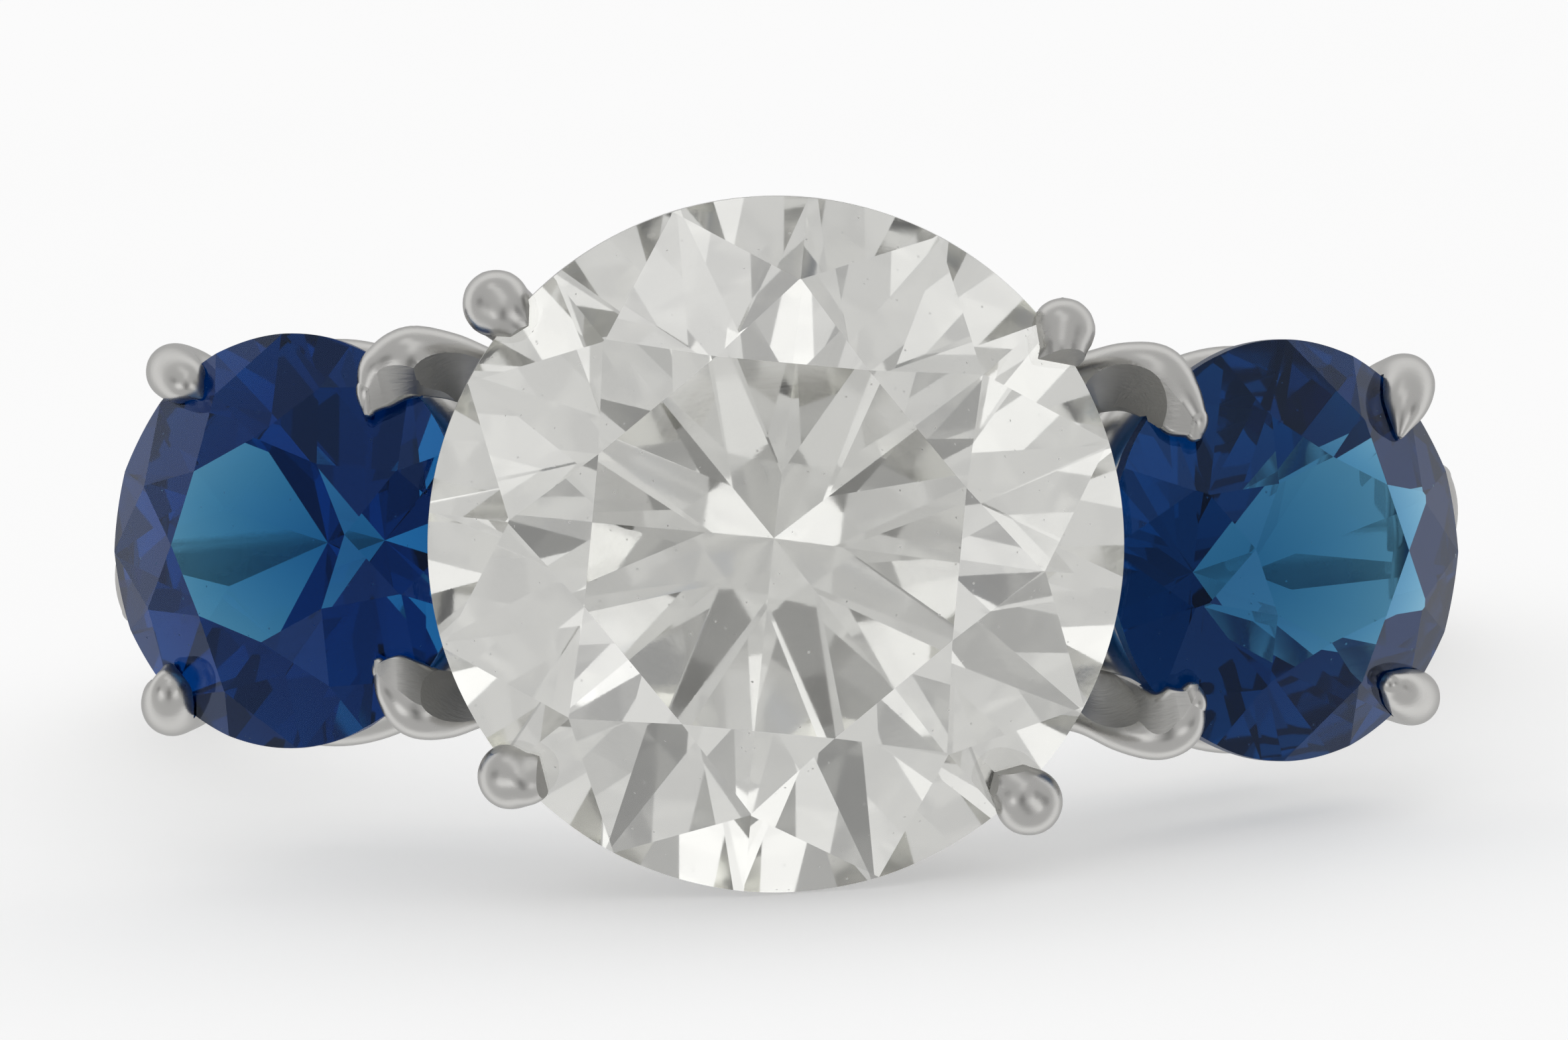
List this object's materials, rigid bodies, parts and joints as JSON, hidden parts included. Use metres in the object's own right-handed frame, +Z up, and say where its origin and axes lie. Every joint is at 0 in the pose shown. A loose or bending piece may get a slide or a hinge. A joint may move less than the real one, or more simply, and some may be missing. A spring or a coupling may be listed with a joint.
{
  "type": "sapphire and diamond ring",
  "caption": "Platinum three-stone ring with a round diamond in claws between oval sapphires that lean outwards, on a plain slim shank.",
  "frame": {"origin": "centre of the bottom of the bounding box, on the surface that the ring lies on", "axes": "+Z up, away from that surface; -Y towards the viewer that the stones face; +Y from the stones to the back of the shank; +X to the right as the stones are seen"},
  "size_m": [0.0218, 0.027, 0.0109],
  "materials": {
    "platinum": "polished",
    "diamond": "gloss",
    "left_sapphire": "gloss",
    "right_sapphire": "gloss"
  },
  "bodies": {
    "root": {"mounting": "platinum", "diamond": "diamond", "left_sapphire": "left_sapphire", "right_sapphire": "right_sapphire"}
  },
  "joints": []
}
